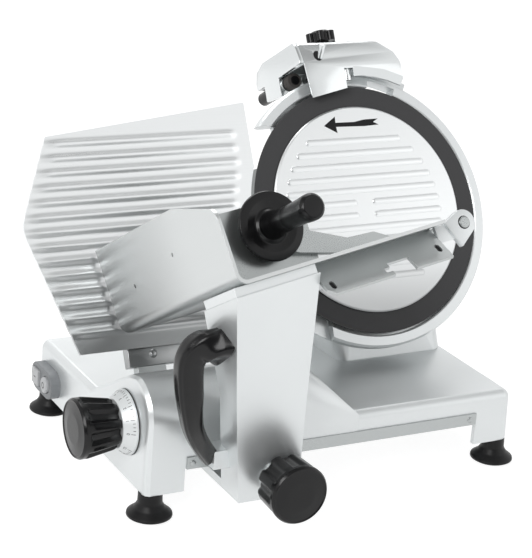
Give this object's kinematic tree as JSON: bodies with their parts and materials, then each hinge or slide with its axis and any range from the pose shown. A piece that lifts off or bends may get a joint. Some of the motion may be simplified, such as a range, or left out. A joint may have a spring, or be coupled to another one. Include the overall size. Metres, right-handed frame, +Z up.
{
  "type": "meat slicer",
  "caption": "Counter-top gravity slicer: cast base on feet, tilted round knife under a ribbed cover, sliding table with pusher, ribbed thickness plate set by a dial, and a top sharpener.",
  "frame": {"origin": "middle of the outline box, on the counter under the feet", "axes": "+X along the carriage travel to the operator's right, +Y to the back, +Z up; the operator stands at -Y"},
  "size_m": [0.5026, 0.4288, 0.3803],
  "materials": {
    "cast_alloy": "satin, fine-grained casting",
    "sheet_alloy": "satin",
    "steel": "satin",
    "ground_rod": "polished",
    "blade_steel": "dark, fine-turned",
    "black_plastic": "gloss",
    "rubber": "matt",
    "grey_plastic": "matt",
    "button_grey": "satin",
    "bronze": "plain",
    "white_plastic": "matt",
    "motor_paint": "matt",
    "stone": "rough"
  },
  "bodies": {
    "frame": {"base_casting": "cast_alloy", "feet": "rubber", "foot_screws": "steel", "bottom_cover": "sheet_alloy", "rail_cover": "sheet_alloy", "cover_screws": "steel", "carriage_rod": "ground_rod", "guide_bar": "ground_rod", "gauge_rod": "ground_rod", "switch_housing": "grey_plastic", "blade_housing": "cast_alloy", "spindle_bearings": "steel", "blade_cover": "sheet_alloy", "cover_tie_rod": "steel", "drive_belt": "rubber", "motor": "motor_paint", "slice_deflector": "sheet_alloy", "sharpener_post": "ground_rod", "cord_gland": "black_plastic"},
    "carriage": {"carriage_slider": "cast_alloy", "slide_bushes": "bronze", "guide_shoe": "white_plastic", "carriage_arm": "cast_alloy", "product_table": "sheet_alloy", "table_plate": "cast_alloy", "carriage_handle": "black_plastic", "handle_bolts": "steel", "front_bracket": "steel", "rod_lugs": "steel", "pusher_rod": "ground_rod"},
    "lock_knob": {"lock_knob": "black_plastic", "lock_stud": "steel"},
    "pusher_bush": {"pusher_bush": "bronze"},
    "pusher": {"pusher_arm": "cast_alloy", "pusher_plate": "steel", "hand_guard": "black_plastic", "pusher_grip": "black_plastic"},
    "knife": {"blade": "blade_steel", "blade_hub": "steel", "blade_screws": "steel", "blade_spindle": "steel", "blade_pulley": "steel"},
    "motor_rotor": {"motor_rotor": "steel"},
    "gauge": {"gauge_plate": "sheet_alloy", "gauge_carrier": "steel"},
    "dial": {"dial_knob": "black_plastic", "dial_skirt": "sheet_alloy", "dial_shaft": "steel"},
    "start_button": {"start_button": "button_grey"},
    "stop_button": {"stop_button": "button_grey"},
    "cover_knob": {"cover_knob": "black_plastic"},
    "sharpener": {"sharpener_frame": "cast_alloy", "sharpener_hood": "sheet_alloy"},
    "star_knob": {"star_knob": "black_plastic"},
    "grind_plunger": {"grind_plunger": "black_plastic"},
    "grinding_stone": {"grinding_stone": "stone"},
    "hone_plunger": {"hone_plunger": "black_plastic"},
    "honing_stone": {"honing_stone": "stone"}
  },
  "joints": [
    {"name": "carriage_slide", "type": "slide", "parent": "frame", "child": "carriage", "axis": [1, 0, 0], "range_m": [-0.02, 0.215]},
    {"name": "lock_turn", "type": "hinge", "parent": "carriage", "child": "lock_knob", "pos_m": [-0.08572, -0.15389, 0.0535], "axis": [0, -1, 0], "range_deg": [0, 540]},
    {"name": "pusher_slide", "type": "slide", "parent": "carriage", "child": "pusher_bush", "axis": [0, -0.8704, 0.4924], "range_m": [-0.095, 0.09]},
    {"name": "pusher_swing", "type": "hinge", "parent": "pusher_bush", "child": "pusher", "pos_m": [0.05721, -0.07809, 0.22808], "axis": [0, -0.8704, 0.4924], "range_deg": [-100, 0]},
    {"name": "knife_spin", "type": "hinge", "parent": "frame", "child": "knife", "pos_m": [0.11228, 0.06211, 0.22], "axis": [0, -0.8704, 0.4924], "continuous": true},
    {"name": "motor_spin", "type": "hinge", "parent": "frame", "child": "motor_rotor", "pos_m": [0.13228, 0.06903, 0.11038], "axis": [0, -0.8704, 0.4924], "continuous": true},
    {"name": "gauge_slide", "type": "slide", "parent": "frame", "child": "gauge", "axis": [0, 0.8704, -0.4924], "range_m": [0, 0.012]},
    {"name": "dial_turn", "type": "hinge", "parent": "frame", "child": "dial", "pos_m": [-0.19772, -0.04689, 0.0774], "axis": [1, 0, 0], "range_deg": [0, 320]},
    {"name": "start_press", "type": "slide", "parent": "frame", "child": "start_button", "axis": [1, 0, 0], "range_m": [0, 0.0025], "stiffness_N_per_m": 500},
    {"name": "stop_press", "type": "slide", "parent": "frame", "child": "stop_button", "axis": [1, 0, 0], "range_m": [0, 0.0025], "stiffness_N_per_m": 500},
    {"name": "cover_knob_turn", "type": "hinge", "parent": "frame", "child": "cover_knob", "pos_m": [0.11228, 0.16133, 0.16386], "axis": [0, 0.8704, -0.4924], "range_deg": [0, 720]},
    {"name": "sharpener_lift", "type": "slide", "parent": "frame", "child": "sharpener", "axis": [0, 0.4924, 0.8704], "range_m": [0, 0.02]},
    {"name": "star_turn", "type": "hinge", "parent": "sharpener", "child": "star_knob", "pos_m": [0.10428, 0.16815, 0.36682], "axis": [0, 0.4924, 0.8704], "range_deg": [0, 540]},
    {"name": "grind_press", "type": "slide", "parent": "sharpener", "child": "grind_plunger", "axis": [0, -0.8704, 0.4924], "range_m": [0, 0.0015], "stiffness_N_per_m": 900},
    {"name": "grind_spin", "type": "hinge", "parent": "grind_plunger", "child": "grinding_stone", "pos_m": [0.06628, 0.15281, 0.32954], "axis": [0, -0.8704, 0.4924], "continuous": true},
    {"name": "hone_press", "type": "slide", "parent": "sharpener", "child": "hone_plunger", "axis": [0, 0.8704, -0.4924], "range_m": [0, 0.0015], "stiffness_N_per_m": 900},
    {"name": "hone_spin", "type": "hinge", "parent": "hone_plunger", "child": "honing_stone", "pos_m": [0.09028, 0.12818, 0.34692], "axis": [0, -0.8704, 0.4924], "continuous": true}
  ],
  "couplings": [
    {"joint": "motor_spin", "follows": "knife_spin", "ratio": 3.2909},
    {"joint": "dial_turn", "follows": "gauge_slide", "rad_per_m": 465.42}
  ]
}
